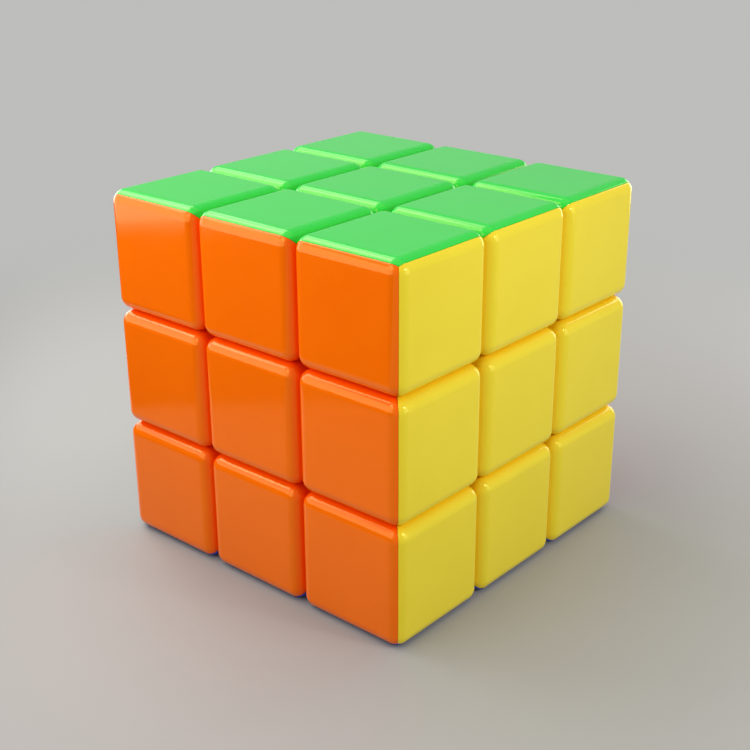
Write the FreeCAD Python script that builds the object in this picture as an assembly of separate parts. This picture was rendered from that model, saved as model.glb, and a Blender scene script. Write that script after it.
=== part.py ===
import FreeCAD, Part
import os
from math import pi, sqrt

from FreeCAD import Matrix, Placement, Rotation, Vector

# Twisty puzzle cube: three layers each way, 26 pieces hooked round a six-armed core.
# Millimetres. The origin is the middle of the core, where the three turning axes meet.
# +X is the right face, -Y the front face and +Z the up face.

# ---- Driving dimensions: the outside ----
PITCH = 60.0            # from the middle of one layer to the middle of the next
LAYER_GAP = 0.5         # clear gap between two pieces of different layers
EDGE_RADIUS = 6.5       # rounding of every edge of a piece
WALL = 2.5              # wall of the moulded shells

# ---- Driving dimensions: the hooked feet ----
HOOK = 12.0             # how far a foot reaches sideways under its neighbour
CORNER_NECK = 9.0       # depth of the neck that joins a corner to its foot
EDGE_HEEL = 1.2         # how far an edge's foot goes on below the edge's own inner edge

# ---- Driving dimensions: the centres and the core ----
CAP_DEPTH = 8.5         # height of a centre's snap-on cap
CAP_RIM_HEIGHT = 4.0    # how far the cap's rim goes down inside the base
CAP_RIM_WALL = 2.0      # wall of that rim
CAP_FIT = 0.1           # clearance between the rim and the base
WELL_CLEARANCE = 1.0    # room round the washer in the well of a centre
WELL_WALL = 2.5         # wall of the well
WELL_FLOOR = 4.0        # floor of the well, between the arm and the washer
HUB_RADIUS = 17.0       # ball in the middle of the core
ARM_RADIUS = 8.0        # six round arms, one into each centre
ARM_CHAMFER = 0.8       # chamfer round an arm's end
ARM_ENGAGEMENT = 5.0    # how far an arm goes into its centre
RUNNING_FIT = 0.08      # radial clearance of a turning centre on its arm and its screw
END_FLOAT = 0.3         # axial clearance over the end of an arm

# ---- Driving dimensions: the screws, springs and washers ----
SCREW_RADIUS = 3.0      # shank
SCREW_GRIP = 20.0       # length of shank inside the arm
SCREW_POINT = 1.5       # cone at the shank's end
THREAD_CLEARANCE = 0.05 # radial clearance of the shank in the core
HEAD_OVERLAP = 0.2      # how far the pan head reaches past the spring
HEAD_HEIGHT = 4.0
HEAD_ROUNDING = 1.2     # rounding of the head's top edge
RECESS_WIDTH = 1.4      # cross recess in the head
RECESS_LENGTH = 6.0
RECESS_DEPTH = 2.0
WASHER_RIM = 1.5        # how far the washer reaches past the head
WASHER_HEIGHT = 1.2
WASHER_FLOAT = 0.1      # gap between the washer and the well's floor
WASHER_CLEARANCE = 0.2  # radial clearance of the washer's hole on the shank
SPRING_CLEARANCE = 1.2  # radial clearance of the spring round the shank
SPRING_WIRE = 0.8       # radius of the wire
SPRING_LENGTH = 14.0    # fitted length, over the wire
SPRING_TURNS = 5

# ---- Worked out from the above ----
HALF_GAP = LAYER_GAP / 2
OUTSIDE = 1.5 * PITCH                       # from the origin to an outer face
OUTER_CUT = PITCH / 2                       # plane between two layers, outside the feet
INNER_CUT = OUTER_CUT - HOOK                # plane between two layers, among the feet
CORNER_REACH = sqrt(3) * (OUTER_CUT + HALF_GAP + EDGE_RADIUS) - EDGE_RADIUS
EDGE_REACH = sqrt(2) * (OUTER_CUT + HALF_GAP + EDGE_RADIUS) - EDGE_RADIUS
FOOT_OUTER = CORNER_REACH + CORNER_NECK     # sphere over the feet
FOOT_INNER = EDGE_REACH - EDGE_HEEL - HALF_GAP  # sphere under the feet
SPRING_RADIUS = SCREW_RADIUS + SPRING_CLEARANCE + SPRING_WIRE   # to the middle of the wire
HEAD_RADIUS = SPRING_RADIUS + SPRING_WIRE + HEAD_OVERLAP
WASHER_RADIUS = HEAD_RADIUS + WASHER_RIM
WELL_RADIUS = WASHER_RADIUS + WELL_CLEARANCE
ARM_END = FOOT_INNER + HALF_GAP + ARM_ENGAGEMENT
WELL_BOTTOM = ARM_END + END_FLOAT + WELL_FLOOR
WASHER_BOTTOM = WELL_BOTTOM + WASHER_FLOAT
SPRING_BOTTOM = WASHER_BOTTOM + WASHER_HEIGHT
HEAD_BOTTOM = SPRING_BOTTOM + SPRING_LENGTH
HEAD_TOP = HEAD_BOTTOM + HEAD_HEIGHT
CAP_SPLIT = OUTSIDE - CAP_DEPTH             # where the cap meets its base
FAR = 4 * OUTSIDE                           # longer than anything in the object

X, Y, Z = Vector(1, 0, 0), Vector(0, 1, 0), Vector(0, 0, 1)
ORIGIN = Vector(0, 0, 0)

# Each face of the cube: its outward direction and the colour of its plastic.
FACES = {
    "up": (Z, "green"),
    "down": (-Z, "blue"),
    "front": (-Y, "orange"),
    "back": (Y, "red"),
    "right": (X, "yellow"),
    "left": (-X, "white"),
}


def box_between(low, high):
    """A box from its lowest corner to its highest."""
    size = high - low
    return Part.makeBox(size.x, size.y, size.z, low)


def half_space(normal):
    """A block that fills the side of a plane through the origin that the normal points to."""
    block = Part.makeBox(FAR, FAR, FAR, Vector(-FAR / 2, -FAR / 2, 0))
    block.Placement = Placement(ORIGIN, Rotation(Z, normal)) * block.Placement
    return block


def span(layer, outer_low, outer_high, middle_half):
    """The (low, high) of a piece along one axis: layer 1 is an outside layer, 0 the middle one."""
    if layer == 1:
        return outer_low, outer_high
    return -middle_half, middle_half


def layer_box(layers, outer_low, outer_high, middle_half):
    """The box of a piece that lies in the given layer along X, Y and Z."""
    spans = [span(layer, outer_low, outer_high, middle_half) for layer in layers]
    low = Vector(*[s[0] for s in spans])
    high = Vector(*[s[1] for s in spans])
    return box_between(low, high)


def rounded(box, radius):
    """A box with every edge rounded."""
    return box.makeFillet(radius, box.Edges)


def hooked_form(layers, inset):
    """The rounded block of a piece with its foot. An inset above 0 gives the hollow inside its walls."""
    block = rounded(
        layer_box(
            layers,
            OUTER_CUT + HALF_GAP + inset,
            OUTSIDE - inset,
            OUTER_CUT - HALF_GAP - inset,
        ),
        EDGE_RADIUS - inset,
    )
    # the room that the neighbours' feet need under the block, on each side of this piece's own neck
    over_feet = Part.makeSphere(FOOT_OUTER + HALF_GAP + inset)
    neck = layer_box(layers, 0, FAR, INNER_CUT - HALF_GAP - inset)
    block = block.cut(over_feet.cut(neck))
    foot = layer_box(
        layers,
        INNER_CUT + HALF_GAP + inset,
        FAR,
        INNER_CUT - HALF_GAP - inset,
    ).common(Part.makeSphere(FOOT_OUTER - HALF_GAP - inset))
    under_feet = Part.makeSphere(FOOT_INNER + HALF_GAP + inset)
    return block.fuse(foot).cut(under_feet).removeSplitter()


def hooked_shell(layers):
    """A hollow piece with walls all round."""
    return hooked_form(layers, 0).cut(hooked_form(layers, WALL))


def only_solid(shape):
    """The one solid that a shape must hold."""
    if len(shape.Solids) != 1:
        raise ValueError(f"expected one solid, and found {len(shape.Solids)}")
    return shape.Solids[0]


def corner_third():
    """The part of the corner at (+, +, +) whose face looks up, split from its fellows at the mitres."""
    shell = hooked_shell((1, 1, 1))
    third = shell.common(half_space(Z - X)).common(half_space(Z - Y))
    return only_solid(third.removeSplitter())


def edge_half():
    """The part of the edge at (0, +, +) whose face looks up, split from its fellow at the mitre."""
    shell = hooked_shell((0, 1, 1))
    return only_solid(shell.common(half_space(Z - Y)).removeSplitter())


def centre_base():
    """The part of the up centre that hooks over the edges' feet and turns on an arm of the core."""
    shell = hooked_shell((0, 0, 1))
    well = Part.makeCylinder(WELL_RADIUS + WELL_WALL, HEAD_TOP).cut(
        Part.makeSphere(FOOT_INNER + HALF_GAP)
    )
    body = shell.fuse(well)
    body = body.cut(Part.makeCylinder(WELL_RADIUS, FAR, Vector(0, 0, WELL_BOTTOM)))
    body = body.cut(Part.makeCylinder(ARM_RADIUS + RUNNING_FIT, ARM_END + END_FLOAT))
    body = body.cut(Part.makeCylinder(SCREW_RADIUS + RUNNING_FIT, FAR))
    above = Part.makeBox(FAR, FAR, FAR, Vector(-FAR / 2, -FAR / 2, CAP_SPLIT))
    return only_solid(body.cut(above).removeSplitter())


def cap_rim():
    """The square rim under the cap that fits inside the base's walls."""
    outer = OUTER_CUT - HALF_GAP - WALL - CAP_FIT
    inner = outer - CAP_RIM_WALL
    bottom = CAP_SPLIT - CAP_RIM_HEIGHT
    top = OUTSIDE - WALL / 2
    rim = box_between(Vector(-outer, -outer, bottom), Vector(outer, outer, top))
    upright = [edge for edge in rim.Edges if abs(edge.BoundBox.ZLength - (top - bottom)) < 0.01]
    rim = rim.makeFillet(EDGE_RADIUS - WALL, upright)
    return rim.cut(box_between(Vector(-inner, -inner, bottom), Vector(inner, inner, top)))


def centre_cap():
    """The cap that closes the up centre."""
    block = rounded(
        layer_box((0, 0, 1), OUTER_CUT + HALF_GAP, OUTSIDE, OUTER_CUT - HALF_GAP),
        EDGE_RADIUS,
    )
    hollow = rounded(
        layer_box(
            (0, 0, 1),
            OUTER_CUT + HALF_GAP + WALL,
            OUTSIDE - WALL,
            OUTER_CUT - HALF_GAP - WALL,
        ),
        EDGE_RADIUS - WALL,
    )
    above = Part.makeBox(FAR, FAR, FAR, Vector(-FAR / 2, -FAR / 2, CAP_SPLIT))
    shell = block.cut(hollow).common(above)
    return only_solid(shell.fuse(cap_rim().common(block)).removeSplitter())


def turned(shape, x_axis, y_axis, z_axis):
    """A copy of a shape with its X, Y and Z turned to three other directions."""
    matrix = Matrix(
        x_axis.x, y_axis.x, z_axis.x, 0,
        x_axis.y, y_axis.y, z_axis.y, 0,
        x_axis.z, y_axis.z, z_axis.z, 0,
    )
    copy = shape.copy()
    copy.Placement = Placement(matrix) * copy.Placement
    return copy


def placed_third(third, outward, side, other):
    """The corner third with its outer face towards outward, on the corner between the three directions."""
    if side.cross(other).dot(outward) < 0:
        side, other = other, side
    return turned(third, side, other, outward)


def placed_half(half, outward, other):
    """The edge half with its outer face towards outward, on the edge that it shares with other."""
    return turned(half, other.cross(outward), other, outward)


def placed_on_arm(shape, outward):
    """A shape made along +Z, turned to lie along one arm of the core."""
    side = X if abs(outward.x) < 0.5 else Y
    return turned(shape, side, outward.cross(side), outward)


def core():
    """The six-armed core with a screw hole down each arm."""
    arm = Part.makeCylinder(ARM_RADIUS, ARM_END)
    rims = [edge for edge in arm.Edges if abs(edge.BoundBox.ZMin - ARM_END) < 0.01]
    arm = arm.makeChamfer(ARM_CHAMFER, rims)
    depth = SCREW_GRIP + THREAD_CLEARANCE
    hole = Part.makeCylinder(SCREW_RADIUS + THREAD_CLEARANCE, FAR, Vector(0, 0, ARM_END - depth))
    body = Part.makeSphere(HUB_RADIUS)
    for outward, _ in FACES.values():
        body = body.fuse(placed_on_arm(arm, outward))
    for outward, _ in FACES.values():
        body = body.cut(placed_on_arm(hole, outward))
    return only_solid(body.removeSplitter())


def screw():
    """The screw of the up centre: a shank with a point, and a pan head with a cross recess."""
    bottom = ARM_END - SCREW_GRIP
    length = HEAD_BOTTOM - bottom - SCREW_POINT
    shank = Part.makeCylinder(SCREW_RADIUS, length, Vector(0, 0, bottom + SCREW_POINT))
    point = Part.makeCone(SCREW_RADIUS - SCREW_POINT, SCREW_RADIUS, SCREW_POINT, Vector(0, 0, bottom))
    head = Part.makeCylinder(HEAD_RADIUS, HEAD_HEIGHT, Vector(0, 0, HEAD_BOTTOM))
    top_edges = [edge for edge in head.Edges if abs(edge.BoundBox.ZMin - HEAD_TOP) < 0.01]
    head = head.makeFillet(HEAD_ROUNDING, top_edges)
    body = shank.fuse(point).fuse(head)
    for along_x, along_y in ((RECESS_LENGTH, RECESS_WIDTH), (RECESS_WIDTH, RECESS_LENGTH)):
        corner = Vector(-along_x / 2, -along_y / 2, HEAD_TOP - RECESS_DEPTH)
        body = body.cut(Part.makeBox(along_x, along_y, FAR, corner))
    return only_solid(body.removeSplitter())


def washer():
    """The washer of the up centre."""
    low = Vector(0, 0, WASHER_BOTTOM)
    disc = Part.makeCylinder(WASHER_RADIUS, WASHER_HEIGHT, low)
    return disc.cut(Part.makeCylinder(SCREW_RADIUS + WASHER_CLEARANCE, WASHER_HEIGHT, low))


def spring():
    """The coil spring of the up centre, between its washer and the screw's head."""
    rise = SPRING_LENGTH - 2 * SPRING_WIRE
    helix = Part.makeHelix(rise / SPRING_TURNS, rise, SPRING_RADIUS)
    tangent = Vector(0, 2 * pi * SPRING_RADIUS, rise / SPRING_TURNS)
    section = Part.Wire(Part.Circle(Vector(SPRING_RADIUS, 0, 0), tangent, SPRING_WIRE).toShape())
    coil = Part.Wire(helix.Edges).makePipeShell([section], True, True)
    coil.translate(Vector(0, 0, SPRING_BOTTOM + SPRING_WIRE))
    return only_solid(coil)


def on_every_arm(shape):
    """Six copies of a shape, one along each arm, kept as separate solids."""
    return Part.makeCompound([placed_on_arm(shape, outward) for outward, _ in FACES.values()])


def corner_nodes():
    """Each corner's three coloured thirds."""
    third = corner_third()
    nodes = {}
    for level in ("up", "down"):
        for depth in ("front", "back"):
            for side in ("right", "left"):
                names = (level, depth, side)
                for index, name in enumerate(names):
                    outward, colour = FACES[name]
                    others = [FACES[n][0] for n in names[:index] + names[index + 1:]]
                    node = f"corner_{level}_{depth}_{side}_{colour}"
                    nodes[node] = placed_third(third, outward, *others)
    return nodes


def edge_nodes():
    """Each edge's two coloured halves."""
    half = edge_half()
    nodes = {}
    names = list(FACES)
    for index, first in enumerate(names):
        for second in names[index + 1:]:
            if abs(FACES[first][0].dot(FACES[second][0])) > 0.5:
                continue  # opposite faces share no edge
            for name, other in ((first, second), (second, first)):
                outward, colour = FACES[name]
                node = f"edge_{first}_{second}_{colour}"
                nodes[node] = placed_half(half, outward, FACES[other][0])
    return nodes


def centre_nodes():
    """Each centre's base and cap, two solids of the same plastic."""
    base = centre_base()
    cap = centre_cap()
    nodes = {}
    for name, (outward, colour) in FACES.items():
        pieces = [placed_on_arm(base, outward), placed_on_arm(cap, outward)]
        nodes[f"centre_{name}_{colour}"] = Part.makeCompound(pieces)
    return nodes


def build():
    """Every node of the puzzle by name."""
    nodes = {"core": core()}
    nodes["centre_screws"] = on_every_arm(screw())
    nodes["centre_springs"] = on_every_arm(spring())
    nodes["centre_washers"] = on_every_arm(washer())
    nodes.update(centre_nodes())
    nodes.update(edge_nodes())
    nodes.update(corner_nodes())
    return nodes


def main():
    os.makedirs("parts", exist_ok=True)
    for name, shape in build().items():
        if not shape.isValid():
            raise ValueError(f"{name} is not a valid shape")
        shape.exportStep(f"parts/{name}.step")
        volume = sum(solid.Volume for solid in shape.Solids) / 1000
        print(f"{name}: {len(shape.Solids)} solids, {volume:.2f} cm3")


main()
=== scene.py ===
"""Looks of a twisty puzzle cube: coloured shells, core and fastenings, and a plain studio around it."""

import logging
import math
from collections.abc import Iterator, Sequence
from dataclasses import dataclass, field
from enum import Enum
from functools import cached_property

import bmesh
import bpy
from mathutils import Matrix, Vector


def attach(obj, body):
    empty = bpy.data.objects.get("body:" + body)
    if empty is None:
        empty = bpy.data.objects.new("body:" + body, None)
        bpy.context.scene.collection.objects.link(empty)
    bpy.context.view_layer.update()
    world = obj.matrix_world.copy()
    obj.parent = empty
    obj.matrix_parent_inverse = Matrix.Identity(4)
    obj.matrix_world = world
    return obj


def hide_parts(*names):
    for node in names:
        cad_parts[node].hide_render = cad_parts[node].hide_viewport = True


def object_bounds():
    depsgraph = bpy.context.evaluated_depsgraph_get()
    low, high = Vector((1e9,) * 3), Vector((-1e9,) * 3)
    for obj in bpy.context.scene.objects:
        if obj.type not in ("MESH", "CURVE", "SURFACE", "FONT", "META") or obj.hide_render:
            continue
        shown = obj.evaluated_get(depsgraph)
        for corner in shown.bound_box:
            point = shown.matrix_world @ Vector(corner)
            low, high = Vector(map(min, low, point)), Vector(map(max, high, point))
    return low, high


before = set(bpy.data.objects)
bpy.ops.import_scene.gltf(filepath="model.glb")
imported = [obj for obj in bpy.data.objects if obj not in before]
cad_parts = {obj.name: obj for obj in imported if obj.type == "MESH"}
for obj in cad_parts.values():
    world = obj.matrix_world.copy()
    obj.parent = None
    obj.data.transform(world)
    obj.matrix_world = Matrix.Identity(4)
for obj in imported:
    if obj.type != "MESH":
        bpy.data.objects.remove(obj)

CAD_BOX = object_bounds()
MM = 0.001  # metres in a millimetre
TINY = 0.01 * MM  # closer than this is the same place
LOG = logging.getLogger("puzzle_cube")


class Face(Enum):
    """The six faces of the cube: name, outward direction and colour of the plastic."""

    UP = ("up", (0, 0, 1), "green")
    DOWN = ("down", (0, 0, -1), "blue")
    FRONT = ("front", (0, -1, 0), "orange")
    BACK = ("back", (0, 1, 0), "red")
    RIGHT = ("right", (1, 0, 0), "yellow")
    LEFT = ("left", (-1, 0, 0), "white")

    @property
    def title(self) -> str:
        """The face's name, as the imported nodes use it."""
        return self.value[0]

    @property
    def outward(self) -> Vector:
        """The direction that the face looks in."""
        return Vector(self.value[1])

    @property
    def colour(self) -> str:
        """The colour of its plastic."""
        return self.value[2]


class Carve(Enum):
    """What a second solid does to the first."""

    JOIN = "UNION"
    REMOVE = "DIFFERENCE"
    KEEP = "INTERSECT"


# ---------------------------------------------------------------- finishes

# A Mix node has a set of inputs and an output for each kind of data, told apart only by their numbers.
MIX_FACTOR = 0
MIX_VALUE_A, MIX_VALUE_B, MIX_VALUE_OUT = 2, 3, 0
MIX_COLOUR_A, MIX_COLOUR_B, MIX_COLOUR_OUT = 6, 7, 2


def linear(colour: str) -> tuple[float, float, float, float]:
    """Turn a colour to linear light.

    Args:
        colour: sRGB as #RRGGBB.

    Returns:
        Red, green, blue and an alpha of 1.
    """
    channels = [int(colour[i : i + 2], 16) / 255 for i in (1, 3, 5)]
    light = [c / 12.92 if c <= 0.04045 else ((c + 0.055) / 1.055) ** 2.4 for c in channels]
    return (light[0], light[1], light[2], 1.0)


def add_node(
    tree: bpy.types.NodeTree, kind: str, settings: dict | None = None, links: dict | None = None
) -> bpy.types.Node:
    """Add a node with its settings and links.

    Args:
        tree: node tree to add to.
        kind: node type.
        settings: value by property name, input name or input number.
        links: output socket by input name or number.

    Returns:
        The node.
    """
    node = tree.nodes.new(kind)
    for key, value in (settings or {}).items():
        if isinstance(key, int) or key in node.inputs:
            node.inputs[key].default_value = value
        else:
            setattr(node, key, value)
    for key, socket in (links or {}).items():
        tree.links.new(socket, node.inputs[key])
    return node


def blank_material(name: str) -> tuple[bpy.types.Material, bpy.types.NodeTree]:
    """A new material with an empty node tree.

    Args:
        name: name of the material.

    Returns:
        The material and its tree.
    """
    material = bpy.data.materials.new(name)
    material.use_nodes = True
    material.node_tree.nodes.clear()
    return material, material.node_tree


@dataclass(frozen=True)
class MouldedAbs:
    """ABS coloured through and injection moulded in a polished mould.

    It is smooth and glossy with a very slight orange peel, a faint drift of shade where the melt flowed,
    hair-fine scuffs from handling, and edges that fingers have polished. Down the roundings a deeper colour
    is painted in: painted light that neighbouring pieces throw into the grooves, and painted shade there.
    """

    colour: str
    shade: str  # where the melt cooled first
    deep: str  # painted light and shade in the grooves, laid down the roundings for the colour that neighbouring pieces throw on each other
    name: str
    gloss_tint: str = "#FFFC92"  # matched, as plain plastic reflects without colour
    ior: float = 1.54
    deep_from: float = 0.3  # share of a quarter turn round an edge where the painted groove colour starts
    roughness: float = 0.11
    edge_roughness: float = 0.09  # polished by handling
    flow_size: float = 28.0  # mm, breadth of a drift of shade
    peel_size: float = 2.2  # mm, ripple left by the mould, drawn a little coarse so that it shows
    peel_depth: float = 0.004  # mm
    smudge_size: float = 9.0  # mm, breadth of a patch that hands have dulled
    smudge_share: tuple[float, float] = (0.35, 0.7)  # of the noise, where a patch starts and is full
    dulling: tuple[float, float] = (-0.02, 0.04)  # added to the roughness, cleanest and most smudged
    scuff_gap: float = 0.55  # mm between hair scratches
    scuff_depth: float = 0.0015  # mm
    scuff_turn: tuple[float, float, float] = (0.5, 0.9, 0.3)  # radians, how the scratches lie
    scuff_stretch: tuple[float, float, float] = (1.0, 0.03, 1.0)  # draws the scratches out
    scuff_share: tuple[float, float] = (0.66, 0.74)  # of the noise, where a scratch starts and is full

    def material(self) -> bpy.types.Material:
        """Build the material.

        Returns:
            The glossy coloured plastic.
        """
        material, tree = blank_material(self.name)
        place = add_node(tree, "ShaderNodeTexCoord").outputs["Object"]
        flow = add_node(
            tree,
            "ShaderNodeTexNoise",
            {"Scale": 1 / (self.flow_size * MM), "Detail": 3.0, "Roughness": 0.45, "Distortion": 0.6},
            {"Vector": place},
        )
        tint = add_node(
            tree,
            "ShaderNodeMix",
            {"data_type": "RGBA", MIX_COLOUR_A: linear(self.colour), MIX_COLOUR_B: linear(self.shade)},
            {MIX_FACTOR: flow.outputs["Fac"]},
        )
        # painted groove light and shade: down the roundings the colour is mixed towards a deeper tint, which
        # stands in for light bounced between neighbouring pieces and for the shade in the grooves
        turned = add_node(tree, "ShaderNodeAttribute", {"attribute_name": "turned"})
        depth = add_node(
            tree,
            "ShaderNodeMapRange",
            {"From Min": self.deep_from, "From Max": 1.0},
            {"Value": turned.outputs["Fac"]},
        )
        body = add_node(
            tree,
            "ShaderNodeMix",
            {"data_type": "RGBA", MIX_COLOUR_B: linear(self.deep)},
            {MIX_FACTOR: depth.outputs["Result"], MIX_COLOUR_A: tint.outputs[MIX_COLOUR_OUT]},
        )
        rounding = add_node(tree, "ShaderNodeAttribute", {"attribute_name": "rounding"})
        smudge = add_node(
            tree,
            "ShaderNodeTexNoise",
            {"Scale": 1 / (self.smudge_size * MM), "Detail": 5.0, "Roughness": 0.6},
            {"Vector": place},
        )
        handled = add_node(
            tree,
            "ShaderNodeMapRange",
            {
                "From Min": self.smudge_share[0],
                "From Max": self.smudge_share[1],
                "To Min": self.roughness + self.dulling[0],
                "To Max": self.roughness + self.dulling[1],
            },
            {"Value": smudge.outputs["Fac"]},
        )
        gloss = add_node(
            tree,
            "ShaderNodeMix",
            {"data_type": "FLOAT", MIX_VALUE_B: self.edge_roughness},
            {MIX_FACTOR: rounding.outputs["Fac"], MIX_VALUE_A: handled.outputs["Result"]},
        )
        peel = add_node(
            tree,
            "ShaderNodeTexNoise",
            {"Scale": 1 / (self.peel_size * MM), "Detail": 2.0, "Roughness": 0.5},
            {"Vector": place},
        )
        ripple = add_node(
            tree,
            "ShaderNodeBump",
            {"Strength": 1.0, "Distance": self.peel_depth * MM},
            {"Height": peel.outputs["Fac"]},
        )
        slanted = add_node(
            tree,
            "ShaderNodeMapping",
            {"Rotation": self.scuff_turn, "Scale": self.scuff_stretch},
            {"Vector": place},
        )
        hairs = add_node(
            tree,
            "ShaderNodeTexNoise",
            {"Scale": 1 / (self.scuff_gap * MM), "Detail": 2.0},
            {"Vector": slanted.outputs["Vector"]},
        )
        scratches = add_node(
            tree,
            "ShaderNodeMapRange",
            {"From Min": self.scuff_share[0], "From Max": self.scuff_share[1]},
            {"Value": hairs.outputs["Fac"]},
        )
        surface = add_node(
            tree,
            "ShaderNodeBump",
            {"Strength": 1.0, "Distance": self.scuff_depth * MM, "invert": True},
            {"Height": scratches.outputs["Result"], "Normal": ripple.outputs["Normal"]},
        )
        shader = add_node(
            tree,
            "ShaderNodeBsdfPrincipled",
            {"IOR": self.ior, "Specular Tint": linear(self.gloss_tint)},
            {
                "Base Color": body.outputs[MIX_COLOUR_OUT],
                "Roughness": gloss.outputs[MIX_VALUE_OUT],
                "Normal": surface.outputs["Normal"],
            },
        )
        add_node(tree, "ShaderNodeOutputMaterial", None, {"Surface": shader.outputs["BSDF"]})
        return material


@dataclass(frozen=True)
class MouldedAcetal:
    """Natural acetal, moulded in a blasted mould, which makes it off-white, waxy and evenly matt."""

    colour: str = "#D9D6CC"
    shade: str = "#C9C5B8"
    name: str = "acetal_injection_moulded"
    ior: float = 1.48
    roughness: float = 0.42
    grain: float = 0.5  # mm, bite of the blasted mould
    grain_depth: float = 0.01  # mm
    cloud_size: float = 12.0  # mm, breadth of a drift of shade
    waxiness: float = 0.1  # share of light that passes under the skin
    wax_depth: float = 2.0  # mm

    def material(self) -> bpy.types.Material:
        """Build the material.

        Returns:
            The waxy off-white plastic.
        """
        material, tree = blank_material(self.name)
        place = add_node(tree, "ShaderNodeTexCoord").outputs["Object"]
        cloud = add_node(
            tree,
            "ShaderNodeTexNoise",
            {"Scale": 1 / (self.cloud_size * MM), "Detail": 3.0},
            {"Vector": place},
        )
        tint = add_node(
            tree,
            "ShaderNodeMix",
            {"data_type": "RGBA", MIX_COLOUR_A: linear(self.colour), MIX_COLOUR_B: linear(self.shade)},
            {MIX_FACTOR: cloud.outputs["Fac"]},
        )
        grain = add_node(
            tree, "ShaderNodeTexNoise", {"Scale": 1 / (self.grain * MM), "Detail": 3.0}, {"Vector": place}
        )
        bump = add_node(
            tree, "ShaderNodeBump", {"Distance": self.grain_depth * MM}, {"Height": grain.outputs["Fac"]}
        )
        shader = add_node(
            tree,
            "ShaderNodeBsdfPrincipled",
            {
                "IOR": self.ior,
                "Roughness": self.roughness,
                "Subsurface Weight": self.waxiness,
                "Subsurface Scale": self.wax_depth * MM,
            },
            {"Base Color": tint.outputs[MIX_COLOUR_OUT], "Normal": bump.outputs["Normal"]},
        )
        add_node(tree, "ShaderNodeOutputMaterial", None, {"Surface": shader.outputs["BSDF"]})
        return material


@dataclass(frozen=True)
class PlatedSteel:
    """Steel with a worked skin, whose sheen is broken by the marks of how it was made."""

    name: str
    colour: str
    shade: str
    roughness: float
    mark: float  # mm, breadth of the marks
    stretch: tuple[float, float, float] = (1.0, 1.0, 1.0)  # draws the marks out along an axis
    mark_depth: float = 0.006  # mm
    haze: tuple[float, float] = (-0.06, 0.08)  # added to the roughness, least and most

    def material(self) -> bpy.types.Material:
        """Build the material.

        Returns:
            The metal.
        """
        material, tree = blank_material(self.name)
        place = add_node(tree, "ShaderNodeTexCoord").outputs["Object"]
        drawn = add_node(tree, "ShaderNodeMapping", {"Scale": self.stretch}, {"Vector": place})
        marks = add_node(
            tree,
            "ShaderNodeTexNoise",
            {"Scale": 1 / (self.mark * MM), "Detail": 4.0},
            {"Vector": drawn.outputs["Vector"]},
        )
        tint = add_node(
            tree,
            "ShaderNodeMix",
            {"data_type": "RGBA", MIX_COLOUR_A: linear(self.colour), MIX_COLOUR_B: linear(self.shade)},
            {MIX_FACTOR: marks.outputs["Fac"]},
        )
        haze = add_node(
            tree,
            "ShaderNodeMapRange",
            {"To Min": self.roughness + self.haze[0], "To Max": self.roughness + self.haze[1]},
            {"Value": marks.outputs["Fac"]},
        )
        bump = add_node(
            tree, "ShaderNodeBump", {"Distance": self.mark_depth * MM}, {"Height": marks.outputs["Fac"]}
        )
        shader = add_node(
            tree,
            "ShaderNodeBsdfPrincipled",
            {"Metallic": 1.0},
            {
                "Base Color": tint.outputs[MIX_COLOUR_OUT],
                "Roughness": haze.outputs["Result"],
                "Normal": bump.outputs["Normal"],
            },
        )
        add_node(tree, "ShaderNodeOutputMaterial", None, {"Surface": shader.outputs["BSDF"]})
        return material


# Each colour is moulded right through, so a shell has the same colour and gloss on every side.
# The colour given for the grooves of each plastic is painted light and shade, laid down its roundings.
PLASTICS = {
    "green": MouldedAbs(
        name="green_abs_injection_moulded",
        colour="#27CB49",
        shade="#24C544",
        deep="#0CDC30",
        gloss_tint="#FFCFA0",
    ),
    "orange": MouldedAbs(
        name="orange_abs_injection_moulded",
        colour="#F46C02",
        shade="#EE6601",
        deep="#FF4200",
    ),
    "yellow": MouldedAbs(
        name="yellow_abs_injection_moulded",
        colour="#EAD536",
        shade="#E4CE30",
        deep="#FBCA12",
    ),
    "blue": MouldedAbs(
        name="blue_abs_injection_moulded",
        colour="#1450C8",
        shade="#124AC0",
        deep="#0A3AD8",
        gloss_tint="#E8F0FF",
    ),
    "red": MouldedAbs(
        name="red_abs_injection_moulded",
        colour="#D41320",
        shade="#CC111D",
        deep="#D8040A",
        gloss_tint="#FFE0D0",
    ),
    "white": MouldedAbs(
        name="white_abs_injection_moulded",
        colour="#C4C3BE",
        shade="#C0BFBA",
        deep="#CCCAC2",
        gloss_tint="#FFFFFF",
    ),
}
ACETAL = MouldedAcetal()
# Zinc plate over a pressed head: bluish white, with a fine crystalline haze.
SCREW_ZINC = PlatedSteel(
    name="steel_zinc_plated_screw", colour="#C9CBC9", shade="#B4B8BA", roughness=0.32, mark=0.3
)
# Music wire as drawn: grey, darker and shinier than the plate, with fine marks from the die.
SPRING_WIRE = PlatedSteel(
    name="spring_steel_drawn_wire", colour="#A9A9A6", shade="#8E8F8E", roughness=0.28, mark=0.25
)
# Zinc plate over stamped sheet: bluish white, a little duller, with faint rolling lines.
WASHER_ZINC = PlatedSteel(
    name="steel_zinc_plated_washer",
    colour="#C4C6C5",
    shade="#B0B3B3",
    roughness=0.35,
    mark=0.3,
    stretch=(1.0, 0.05, 1.0),
)


# ---------------------------------------------------------------- meshes


def ready_mesh(bm: bmesh.types.BMesh, name: str) -> bpy.types.Mesh:
    """Turn a bmesh to a mesh and free it.

    Args:
        bm: the finished bmesh.
        name: name of the mesh.

    Returns:
        The mesh.
    """
    mesh = bpy.data.meshes.new(name)
    bm.to_mesh(mesh)
    bm.free()
    return mesh


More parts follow.
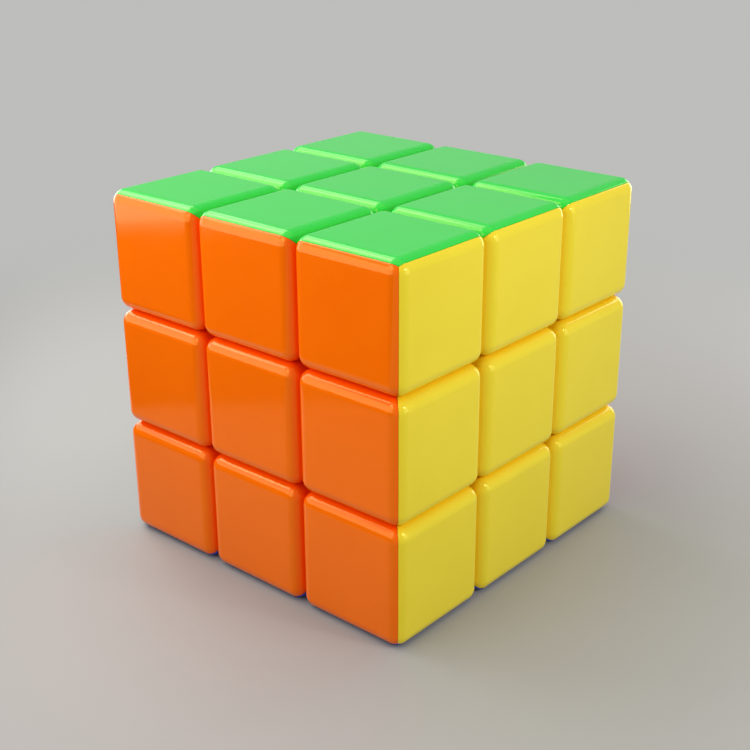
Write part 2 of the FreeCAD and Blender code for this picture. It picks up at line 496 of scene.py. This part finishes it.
def block(low: Vector, high: Vector, radius: float = 0.0, segments: int = 1) -> bpy.types.Mesh:
    """A box, with every edge rounded if a radius is given.

    Args:
        low: lowest corner.
        high: highest corner.
        radius: radius of the edges.
        segments: flats that make up each rounding.

    Returns:
        The closed mesh.
    """
    bm = bmesh.new()
    bmesh.ops.create_cube(bm, size=1.0)
    size = high - low
    place = Matrix.Translation((low + high) / 2) @ Matrix.Diagonal((size.x, size.y, size.z, 1.0))
    bmesh.ops.transform(bm, matrix=place, verts=bm.verts)
    if radius > 0:
        bmesh.ops.bevel(
            bm,
            geom=bm.edges[:],
            offset=radius,
            offset_type="OFFSET",
            segments=segments,
            profile=0.5,
            affect="EDGES",
            material=-1,
        )
    return ready_mesh(bm, "block")


def ball(radius: float, fineness: int = 6) -> bpy.types.Mesh:
    """A sphere about the origin.

    Args:
        radius: its radius.
        fineness: times that its faces are divided.

    Returns:
        The closed mesh.
    """
    bm = bmesh.new()
    bmesh.ops.create_icosphere(bm, subdivisions=fineness, radius=radius)
    return ready_mesh(bm, "ball")


def round_bar(radius: float, low: float, high: float, segments: int = 96) -> bpy.types.Mesh:
    """A cylinder about +Z.

    Args:
        radius: its radius.
        low: its lower end.
        high: its upper end.
        segments: flats round it.

    Returns:
        The closed mesh.
    """
    bm = bmesh.new()
    bmesh.ops.create_cone(
        bm,
        cap_ends=True,
        segments=segments,
        radius1=radius,
        radius2=radius,
        depth=high - low,
        matrix=Matrix.Translation((0, 0, (low + high) / 2)),
    )
    return ready_mesh(bm, "round_bar")


def carved(base: bpy.types.Mesh, steps: Sequence[tuple[Carve, bpy.types.Mesh]]) -> bpy.types.Mesh:
    """Join, remove or keep what other closed meshes cover, one after another.

    Args:
        base: the closed mesh to begin with.
        steps: what to do, and the mesh to do it with.

    Returns:
        A new closed mesh.
    """
    scene = bpy.context.scene
    work = bpy.data.objects.new("work", base)
    scene.collection.objects.link(work)
    tools = []
    for action, mesh in steps:
        tool = bpy.data.objects.new("tool", mesh)
        scene.collection.objects.link(tool)
        tools.append(tool)
        modifier = work.modifiers.new("carve", "BOOLEAN")
        modifier.operation = action.value
        modifier.solver = "EXACT"
        modifier.object = tool
    depsgraph = bpy.context.evaluated_depsgraph_get()
    result = bpy.data.meshes.new_from_object(work.evaluated_get(depsgraph))
    for thing in [work, *tools]:
        bpy.data.objects.remove(thing)
    return result


def tidied(mesh: bpy.types.Mesh) -> bpy.types.Mesh:
    """Weld the doubled vertices of a mesh and drop its slivers.

    Args:
        mesh: the mesh, which is changed.

    Returns:
        The same mesh.
    """
    bm = bmesh.new()
    bm.from_mesh(mesh)
    bmesh.ops.remove_doubles(bm, verts=bm.verts, dist=TINY / 10)
    bmesh.ops.dissolve_degenerate(bm, edges=bm.edges, dist=TINY / 10)
    bm.to_mesh(mesh)
    bm.free()
    return mesh


@dataclass
class Shells:
    """The hollow coloured mouldings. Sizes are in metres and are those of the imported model."""

    pitch: float = 60 * MM  # from one layer to the next
    gap: float = 0.5 * MM  # between two layers
    rounding: float = 6.5 * MM
    wall: float = 2.5 * MM
    hook: float = 12 * MM  # how far a foot reaches under its neighbours
    foot_top: float = 66.153 * MM  # sphere over the feet
    foot_bottom: float = 44.022 * MM  # sphere under the feet
    flats: int = 14  # flats round a quarter turn of an edge
    hollow_flats: int = 6  # the same inside, where it is rarely seen
    seam: float = 0.3 * MM  # rounding of the lips where two colours meet
    seam_flats: int = 2
    sharp: float = 0.6  # radians, least turn at an edge that is a lip
    lean_slack: float = 1e-3  # how far a normal may be from the mitre's

    @property
    def outside(self) -> float:
        """Half the side of the cube."""
        return 1.5 * self.pitch

    def span(self, layer: int, low: float, high: float, middle: float) -> tuple[float, float]:
        """Where a piece lies along one axis: layer 1 is an outside layer, 0 the middle one."""
        return (low, high) if layer else (-middle, middle)

    def corners(
        self, layers: Sequence[int], low: float, high: float, middle: float
    ) -> tuple[Vector, Vector]:
        """Lowest and highest corner of a piece's box in the given layer along each axis.

        Args:
            layers: 0 or 1 for X, Y and Z.
            low: inner plane of an outside layer.
            high: outer plane of an outside layer.
            middle: half the breadth of the middle layer.

        Returns:
            The two corners.
        """
        spans = [self.span(layer, low, high, middle) for layer in layers]
        return Vector([s[0] for s in spans]), Vector([s[1] for s in spans])

    def block_corners(self, layers: Sequence[int], inset: float = 0.0) -> tuple[Vector, Vector]:
        """Corners of the rounded block of a piece.

        Args:
            layers: 0 or 1 for X, Y and Z.
            inset: how far to draw every side in.

        Returns:
            The lowest and the highest corner.
        """
        half = self.pitch / 2
        slack = self.gap / 2 + inset
        return self.corners(layers, half + slack, self.outside - inset, half - slack)

    def hooked_form(self, layers: Sequence[int], inset: float) -> bpy.types.Mesh:
        """The rounded block of a piece with its foot.

        Args:
            layers: 0 or 1 for X, Y and Z.
            inset: 0 for the outside, or the wall's thickness for the hollow.

        Returns:
            The closed mesh.
        """
        far = 2 * self.outside
        clear = self.gap / 2
        inner = self.pitch / 2 - self.hook
        flats = self.flats if inset == 0 else self.hollow_flats
        form = block(*self.block_corners(layers, inset), self.rounding - inset, flats)
        neck = block(*self.corners(layers, 0.0, far, inner - clear - inset))
        over_feet = carved(ball(self.foot_top + clear + inset), [(Carve.REMOVE, neck)])
        foot = carved(
            block(*self.corners(layers, inner + clear + inset, far, inner - clear - inset)),
            [(Carve.KEEP, ball(self.foot_top - clear - inset))],
        )
        steps = [(Carve.JOIN, foot), (Carve.REMOVE, ball(self.foot_bottom + clear + inset))]
        if sum(layers) < 3:
            steps.insert(0, (Carve.REMOVE, over_feet))
        return carved(form, steps)

    def shell(self, layers: Sequence[int]) -> bpy.types.Mesh:
        """A hollow piece with walls all round."""
        hollow = self.hooked_form(layers, self.wall)
        return carved(self.hooked_form(layers, 0.0), [(Carve.REMOVE, hollow)])

    def mitre(self) -> bpy.types.Mesh:
        """Make the pyramid, point down at the origin, whose sides are the planes where colours meet.

        Returns:
            The closed mesh.
        """
        height = 2 * self.outside
        bm = bmesh.new()
        bmesh.ops.create_cone(
            bm,
            cap_ends=True,
            segments=4,
            radius1=0.0,
            radius2=math.sqrt(2) * height,
            depth=height,
            matrix=Matrix.Rotation(math.pi / 4, 4, "Z") @ Matrix.Translation((0, 0, height / 2)),
        )
        bmesh.ops.remove_doubles(bm, verts=bm.verts, dist=TINY)
        bmesh.ops.recalc_face_normals(bm, faces=bm.faces)
        return ready_mesh(bm, "mitre")

    def off_core(self, point: Vector, low: Vector, high: Vector) -> Vector:
        """How far a point stands off the block that the rounding is rolled round.

        Args:
            point: any point.
            low: lowest corner of the rounded block.
            high: highest corner of the rounded block.

        Returns:
            The vector from the inner block to the point.
        """
        nearest = Vector(
            [min(max(p, a + self.rounding), b - self.rounding) for p, a, b in zip(point, low, high)]
        )
        return point - nearest

    def faces_mitre(self, face: bmesh.types.BMFace) -> bool:
        """Tell whether a face leans at 45 degrees, as the planes where colours meet do.

        Args:
            face: any face.

        Returns:
            True if it does.
        """
        lean = math.sqrt(0.5)
        level = min(abs(abs(face.normal[axis]) - lean) for axis in (0, 1))
        return level < self.lean_slack and abs(abs(face.normal.z) - lean) < self.lean_slack

    def lip_edges(self, bm: bmesh.types.BMesh, low: Vector, high: Vector) -> list[bmesh.types.BMEdge]:
        """The edges where a mitre face meets the rounded outside.

        Args:
            bm: the piece.
            low: lowest corner of its rounded block.
            high: highest corner of its rounded block.

        Returns:
            The edges.
        """
        found = []
        for edge in bm.edges:
            off = [self.off_core(v.co, low, high).length - self.rounding for v in edge.verts]
            if max(abs(o) for o in off) > 2 * TINY or len(edge.link_faces) != 2:
                continue
            on_mitre = [self.faces_mitre(f) for f in edge.link_faces]
            broad = [f.calc_area() > self.wall**2 for f in edge.link_faces]
            if any(m and w for m, w in zip(on_mitre, broad)) and edge.calc_face_angle() > self.sharp:
                found.append(edge)
        return found

    def note_rounding(self, mesh: bpy.types.Mesh, low: Vector, high: Vector) -> None:
        """Store how each vertex lies on the outside rounding, for the finish to read.

        "rounding" is 0 on a flat and 1 at the middle of an edge. "turned" is 0 on the outer face and 1 where
        the surface has turned a quarter from it. Both are 0 off the rounded block, as on the foot.

        Args:
            mesh: the piece.
            low: lowest corner of its rounded block.
            high: highest corner of its rounded block.
        """
        upward = Vector((0, 0, 1))
        rounding, turned = [], []
        for vertex in mesh.vertices:
            off = self.off_core(vertex.co, low, high)
            on_block = abs(off.length - self.rounding) < self.seam
            steepest = max(abs(c) for c in off) / off.length if on_block else 1.0
            rounding.append(min(1.0, (1 - steepest) / (1 - math.sqrt(0.5))))
            turned.append(min(1.0, off.angle(upward) / (math.pi / 2)) if on_block else 0.0)
        for name, values in (("rounding", rounding), ("turned", turned)):
            mesh.attributes.new(name, "FLOAT", "POINT").data.foreach_set("value", values)

    def split(self, layers: Sequence[int]) -> bpy.types.Mesh:
        """The part of a shell whose outer face looks up, with softened lips at the mitres.

        Args:
            layers: 0 or 1 for X, Y and Z.

        Returns:
            The finished master.
        """
        part = carved(self.shell(layers), [(Carve.KEEP, self.mitre())])
        low, high = self.block_corners(layers)
        bm = bmesh.new()
        bm.from_mesh(part)
        bmesh.ops.remove_doubles(bm, verts=bm.verts, dist=TINY / 10)
        bm.normal_update()
        lips = self.lip_edges(bm, low, high)
        bmesh.ops.bevel(
            bm,
            geom=lips,
            offset=self.seam,
            offset_type="OFFSET",
            segments=self.seam_flats,
            profile=0.5,
            affect="EDGES",
            material=-1,
            clamp_overlap=False,
        )
        LOG.info("lips softened on %d edges", len(lips))
        mesh = ready_mesh(bm, "part")
        self.note_rounding(mesh, low, high)
        return mesh


def smooth(mesh: bpy.types.Mesh, crease: float = 32.0) -> None:
    """Shade a mesh smooth, and keep creases sharper than an angle in degrees."""
    mesh.polygons.foreach_set("use_smooth", [True] * len(mesh.polygons))
    mesh.set_sharp_from_angle(angle=math.radians(crease))


def turn_to(x_axis: Vector, y_axis: Vector, z_axis: Vector) -> Matrix:
    """The turn that sends X, Y and Z to three other directions."""
    return Matrix((x_axis, y_axis, z_axis)).transposed().to_4x4()


@dataclass
class Piece:
    """One finished piece of the object."""

    name: str
    master: bpy.types.Mesh
    turn: Matrix
    body: str
    node: str
    slot: str

    def make(self, material: bpy.types.Material) -> bpy.types.Object:
        """Put a copy of the master in its place and dress it.

        Args:
            material: its finish.

        Returns:
            The object, at the origin with its place in its mesh.
        """
        mesh = self.master.copy()
        mesh.name = self.name
        mesh.transform(self.turn)
        mesh.materials.clear()
        mesh.materials.append(material)
        smooth(mesh)
        thing = bpy.data.objects.new(self.name, mesh)
        bpy.context.scene.collection.objects.link(thing)
        weigh = thing.modifiers.new("even_shading", "WEIGHTED_NORMAL")
        weigh.keep_sharp = True
        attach(thing, self.body)
        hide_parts(self.node)
        return thing


@dataclass
class Corners:
    """The eight corner pieces, each of three colours."""

    shells: Shells

    @cached_property
    def third(self) -> bpy.types.Mesh:
        """The up third of the corner at +X +Y +Z."""
        return self.shells.split((1, 1, 1))

    def pieces(self) -> Iterator[Piece]:
        """Every third of every corner.

        Yields:
            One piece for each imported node.
        """
        for level in (Face.UP, Face.DOWN):
            for depth in (Face.FRONT, Face.BACK):
                for side in (Face.RIGHT, Face.LEFT):
                    meeting = (level, depth, side)
                    body = "corner_" + "_".join(f.title for f in meeting)
                    for face in meeting:
                        first, second = [f.outward for f in meeting if f is not face]
                        if first.cross(second).dot(face.outward) < 0:
                            first, second = second, first
                        node = f"{body}_{face.colour}"
                        yield Piece(
                            name=f"shell_{node}",
                            master=self.third,
                            turn=turn_to(first, second, face.outward),
                            body=body,
                            node=node,
                            slot=f"{face.colour}_plastic",
                        )


@dataclass
class Edges:
    """The twelve edge pieces, each of two colours."""

    shells: Shells

    @cached_property
    def half(self) -> bpy.types.Mesh:
        """The up half of the edge at +Y +Z."""
        return self.shells.split((0, 1, 1))

    def pieces(self) -> Iterator[Piece]:
        """Both halves of every edge.

        Yields:
            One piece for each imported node.
        """
        faces = list(Face)
        for index, first in enumerate(faces):
            for second in faces[index + 1 :]:
                if abs(first.outward.dot(second.outward)) > 0.5:
                    continue  # opposite faces share no edge
                body = f"edge_{first.title}_{second.title}"
                for face, other in ((first, second), (second, first)):
                    node = f"{body}_{face.colour}"
                    yield Piece(
                        name=f"shell_{node}",
                        master=self.half,
                        turn=turn_to(other.outward.cross(face.outward), other.outward, face.outward),
                        body=body,
                        node=node,
                        slot=f"{face.colour}_plastic",
                    )


def along_arm(face: Face) -> Matrix:
    """The turn from +Z to the arm behind a face."""
    side = Vector((1, 0, 0)) if abs(face.outward.x) < 0.5 else Vector((0, 1, 0))
    return turn_to(side, face.outward.cross(side), face.outward)


@dataclass
class Centres:
    """The six centre pieces, each a base with a snap-on cap."""

    shells: Shells
    arm: float = 8.08 * MM  # bore for an arm of the core
    arm_depth: float = 49.572 * MM
    screw: float = 3.08 * MM  # bore for the screw
    screw_segments: int = 48
    well: float = 8.5 * MM  # bore for the spring and the screw's head
    well_bottom: float = 53.572 * MM
    well_top: float = 72.872 * MM
    cap_split: float = 81.5 * MM
    rim_height: float = 4 * MM
    rim_wall: float = 2 * MM
    rim_fit: float = 0.1 * MM

    @cached_property
    def base(self) -> bpy.types.Mesh:
        """The hooked base of the up centre, with its well.

        Returns:
            The finished master.
        """
        shells = self.shells
        far = 2 * shells.outside
        well = carved(
            round_bar(self.well + shells.wall, 0.0, self.well_top),
            [(Carve.REMOVE, ball(shells.foot_bottom + shells.gap / 2))],
        )
        above = block(Vector((-far, -far, self.cap_split)), Vector((far, far, far)))
        base = carved(
            shells.shell((0, 0, 1)),
            [
                (Carve.JOIN, well),
                (Carve.REMOVE, round_bar(self.well, self.well_bottom, far)),
                (Carve.REMOVE, round_bar(self.arm, -far, self.arm_depth)),
                (Carve.REMOVE, round_bar(self.screw, -far, far, self.screw_segments)),
                (Carve.REMOVE, above),
            ],
        )
        tidied(base)
        shells.note_rounding(base, *shells.block_corners((0, 0, 1)))
        return base

    @cached_property
    def cap(self) -> bpy.types.Mesh:
        """The cap of the up centre, with the rim that snaps into the base.

        Returns:
            The finished master.
        """
        shells = self.shells
        far = 2 * shells.outside
        low, high = shells.block_corners((0, 0, 1))
        outer = high.x - shells.wall - self.rim_fit
        inner = outer - self.rim_wall
        bottom = self.cap_split - self.rim_height
        # the rim ends inside the wall of the cap, so it never comes through the rounding
        inset = shells.wall / 2
        within = block(*shells.block_corners((0, 0, 1), inset), shells.rounding - inset, shells.hollow_flats)
        bore = block(Vector((-inner, -inner, bottom - far)), Vector((inner, inner, far)))
        rim = carved(
            block(Vector((-outer, -outer, bottom)), Vector((outer, outer, shells.outside))),
            [
                (Carve.REMOVE, bore),
                (Carve.KEEP, within),
            ],
        )
        wall = shells.wall
        hollow = block(*shells.block_corners((0, 0, 1), wall), shells.rounding - wall, shells.hollow_flats)
        above = block(Vector((-far, -far, self.cap_split)), Vector((far, far, far)))
        cap = carved(
            block(low, high, shells.rounding, shells.flats),
            [(Carve.REMOVE, hollow), (Carve.KEEP, above), (Carve.JOIN, rim)],
        )
        tidied(cap)
        shells.note_rounding(cap, low, high)
        return cap

    def pieces(self) -> Iterator[Piece]:
        """The base and the cap of every centre.

        Yields:
            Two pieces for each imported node.
        """
        for face in Face:
            node = f"centre_{face.title}_{face.colour}"
            for kind, master in (("base", self.base), ("cap", self.cap)):
                yield Piece(
                    name=f"{kind}_{node}",
                    master=master,
                    turn=along_arm(face),
                    body=f"centre_{face.title}",
                    node=node,
                    slot=f"{face.colour}_plastic",
                )


# ---------------------------------------------------------------- studio


@dataclass(frozen=True)
class SoftBox:
    """A soft light with a flat front."""

    name: str
    place: tuple[float, float, float]  # m, its middle
    aim: tuple[float, float, float]  # m, the point that it faces
    size: tuple[float, float]  # m, across and up
    power: float  # W
    colour: str = "#FFFFFF"

    def make(self) -> bpy.types.Object:
        """Hang the light.

        Returns:
            The light.
        """
        data = bpy.data.lights.new(self.name, "AREA")
        data.shape = "RECTANGLE"
        data.size, data.size_y = self.size
        data.energy = self.power
        data.color = linear(self.colour)[:3]
        light = bpy.data.objects.new(self.name, data)
        light.location = self.place
        away = Vector(self.place) - Vector(self.aim)
        light.rotation_euler = away.to_track_quat("Z", "Y").to_euler()
        light.visible_camera = False
        bpy.context.scene.collection.objects.link(light)
        return light


@dataclass
class Studio:
    """The floor, the light and the camera."""

    floor: str = "#9C9A96"
    sky: str = "#FFFFFF"
    sky_strength: float = 0.5
    distance_tone: str = "#F5F5F2"  # of the floor far off
    distance_strength: float = 0.56
    fade: tuple[float, float] = (0.17, 0.62)  # m from the middle, where floor passes into distance
    floor_radius: float = 6.0  # m
    # each box: name, place, aim, size and power, in the order of SoftBox's fields
    boxes: Sequence[SoftBox] = field(
        default_factory=lambda: (
            SoftBox("overhead", (0, 0, 1.0), (0, 0, 0), (0.9, 0.9), 1.4),
            SoftBox("upper_left_front", (-0.455, -0.188, 0.562), (0, 0, 0), (0.4, 0.4), 1.75),
            SoftBox("upper_left_back", (-0.515, 0.102, 0.663), (0, 0, 0), (0.4, 0.4), 1.45),
            SoftBox("left_wall_front", (0, -0.424, 0.375), (0.212, -0.212, 0.375), (0.3, 0.25), 0.8),
            SoftBox("left_foot_front", (-0.106, -0.318, 0.138), (0.106, -0.106, 0.138), (0.6, 0.225), 0.71),
            SoftBox("left_foot_back", (-0.46, 0.035, 0.138), (-0.247, 0.247, 0.138), (0.4, 0.225), 1.12),
            SoftBox("right_wall_front", (0.53, 0.106, 0.15), (0.212, -0.212, 0.15), (0.3, 0.35), 0.76),
            SoftBox("right_wall_back", (0.071, 0.566, 0.15), (-0.247, 0.247, 0.15), (0.4, 0.35), 1.32),
            SoftBox("right_lamp", (0.36, -0.01, 0.19), (0, 0, 0), (0.04, 0.04), 0.29),
        )
    )
    flag_place: tuple[float, float] = (-0.1975, -0.1975)  # m, middle of the dark card
    flag_width: float = 1.2  # m
    flag_top: float = 25 * MM  # above the middle of the cube
    flag_tone: str = "#1B1B1B"
    flag_roughness: float = 0.9  # matt
    floor_roughness: float = 0.6
    fibre: float = 0.6  # mm, grain of the floor's paper
    fibre_depth: float = 0.02  # mm
    azimuth: float = 41.015  # degrees round from the front
    elevation: float = 22.504  # degrees
    roll: float = -0.298  # degrees
    distance: float = 0.64958  # m
    aside: tuple[float, float] = (-0.00079, -0.0088)  # m, how far the view's middle is off the cube's
    lens: float = 61.77  # mm
    sensor: float = 36.0  # mm
    nearest: float = 10 * MM  # in front of the camera

    def lay_floor(self) -> bpy.types.Object:
        """Lay the pale floor under the cube.

        Returns:
            The floor.
        """
        bm = bmesh.new()
        bmesh.ops.create_circle(bm, cap_ends=True, segments=96, radius=self.floor_radius)
        bmesh.ops.translate(bm, vec=(0, 0, CAD_BOX[0].z), verts=bm.verts)
        floor = bpy.data.objects.new("floor", ready_mesh(bm, "floor"))
        bpy.context.scene.collection.objects.link(floor)
        # uncoated paper off a roll: matt, with a fine fibre that breaks up what little it reflects
        material, tree = blank_material("floor_paper")
        place = add_node(tree, "ShaderNodeTexCoord").outputs["Object"]
        fibre = add_node(
            tree, "ShaderNodeTexNoise", {"Scale": 1 / (self.fibre * MM), "Detail": 3.0}, {"Vector": place}
        )
        bump = add_node(
            tree, "ShaderNodeBump", {"Distance": self.fibre_depth * MM}, {"Height": fibre.outputs["Fac"]}
        )
        shader = add_node(
            tree,
            "ShaderNodeBsdfPrincipled",
            {"Base Color": linear(self.floor), "Roughness": self.floor_roughness},
            {"Normal": bump.outputs["Normal"]},
        )
        # far from the cube the floor passes into the even light of the room, as a sweep does
        glow = add_node(
            tree,
            "ShaderNodeEmission",
            {"Color": linear(self.distance_tone), "Strength": self.distance_strength},
        )
        spread = add_node(tree, "ShaderNodeVectorMath", {"operation": "LENGTH"}, {0: place})
        fade = add_node(
            tree,
            "ShaderNodeMapRange",
            {"interpolation_type": "SMOOTHSTEP", "From Min": self.fade[0], "From Max": self.fade[1]},
            {"Value": spread.outputs["Value"]},
        )
        blend = add_node(
            tree,
            "ShaderNodeMixShader",
            None,
            {0: fade.outputs["Result"], 1: shader.outputs["BSDF"], 2: glow.outputs["Emission"]},
        )
        add_node(tree, "ShaderNodeOutputMaterial", None, {"Surface": blend.outputs["Shader"]})
        floor.data.materials.append(material)
        return floor

    def stand_flag(self) -> bpy.types.Object:
        """Stand a dark card beside the cube, which is seen only in the gloss of the plastics.

        Returns:
            The card.
        """
        low = CAD_BOX[0].z
        bm = bmesh.new()
        bmesh.ops.create_grid(bm, x_segments=1, y_segments=1, size=0.5)
        middle = Vector((*self.flag_place, (self.flag_top + low) / 2))
        turn = Vector((*self.flag_place, 0)).to_track_quat("Z", "Y").to_matrix().to_4x4()
        scale = Matrix.Diagonal((self.flag_width, self.flag_top - low, 1, 1))
        bmesh.ops.transform(bm, matrix=Matrix.Translation(middle) @ turn @ scale, verts=bm.verts)
        card = bpy.data.objects.new("flag", ready_mesh(bm, "flag"))
        bpy.context.scene.collection.objects.link(card)
        # dyed card: matt and near black, so the gloss of the plastics shows it as a dark edge
        material, tree = blank_material("black_card")
        shader = add_node(
            tree,
            "ShaderNodeBsdfPrincipled",
            {"Base Color": linear(self.flag_tone), "Roughness": self.flag_roughness},
        )
        add_node(tree, "ShaderNodeOutputMaterial", None, {"Surface": shader.outputs["BSDF"]})
        card.data.materials.append(material)
        card.visible_camera = card.visible_shadow = False
        card.visible_diffuse = card.visible_transmission = False
        return card

    def light(self) -> None:
        """Set the even light of the room and hang the soft boxes."""
        world = bpy.data.worlds.new("room")
        world.use_nodes = True
        world.node_tree.nodes.clear()
        glow = add_node(
            world.node_tree,
            "ShaderNodeBackground",
            {"Color": linear(self.sky), "Strength": self.sky_strength},
        )
        add_node(world.node_tree, "ShaderNodeOutputWorld", None, {"Surface": glow.outputs["Background"]})
        bpy.context.scene.world = world
        for box in self.boxes:
            box.make()
        # the plain transform keeps the plastics as saturated as they are
        bpy.context.scene.view_settings.view_transform = "Standard"

    def place_camera(self) -> bpy.types.Object:
        """Stand the camera at its viewing angle.

        Returns:
            The camera.
        """
        azimuth, elevation, roll = (math.radians(a) for a in (self.azimuth, self.elevation, self.roll))
        back = Vector(
            (
                math.sin(azimuth) * math.cos(elevation),
                -math.cos(azimuth) * math.cos(elevation),
                math.sin(elevation),
            )
        )
        level = Vector((math.cos(azimuth), math.sin(azimuth), 0))
        upright = back.cross(level)
        right = level * math.cos(roll) + upright * math.sin(roll)
        up = upright * math.cos(roll) - level * math.sin(roll)
        data = bpy.data.cameras.new("camera")
        data.sensor_width = self.sensor
        data.lens = self.lens
        data.clip_start = self.nearest
        camera = bpy.data.objects.new("camera", data)
        camera.matrix_world = Matrix.Translation(
            right * self.aside[0] + up * self.aside[1] + back * self.distance
        ) @ turn_to(right, up, back)
        bpy.context.scene.collection.objects.link(camera)
        bpy.context.scene.camera = camera
        return camera


# ---------------------------------------------------------------- whole


def dress_node(node: str, material: bpy.types.Material) -> None:
    """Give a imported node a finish.

    Args:
        node: name of the node.
        material: its finish.
    """
    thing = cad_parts[node]
    thing.data.materials.clear()
    thing.data.materials.append(material)


def main() -> None:
    """Build every piece in order and report it."""
    logging.basicConfig(level=logging.INFO, format="%(message)s")
    plastics = {colour: finish.material() for colour, finish in PLASTICS.items()}
    shells = Shells()
    for group in (Corners(shells), Edges(shells), Centres(shells)):
        for piece in group.pieces():
            thing = piece.make(plastics[piece.slot.removesuffix("_plastic")])
            LOG.info("%s: %d faces on %s", thing.name, len(thing.data.polygons), piece.body)
    for node, finish in (
        ("core", ACETAL),
        ("centre_screws", SCREW_ZINC),
        ("centre_springs", SPRING_WIRE),
        ("centre_washers", WASHER_ZINC),
    ):
        dress_node(node, finish.material())
        LOG.info("%s: %s", node, finish.name)
    studio = Studio()
    studio.lay_floor()
    studio.stand_flag()
    studio.light()
    studio.place_camera()


if __name__ == "__main__":
    main()
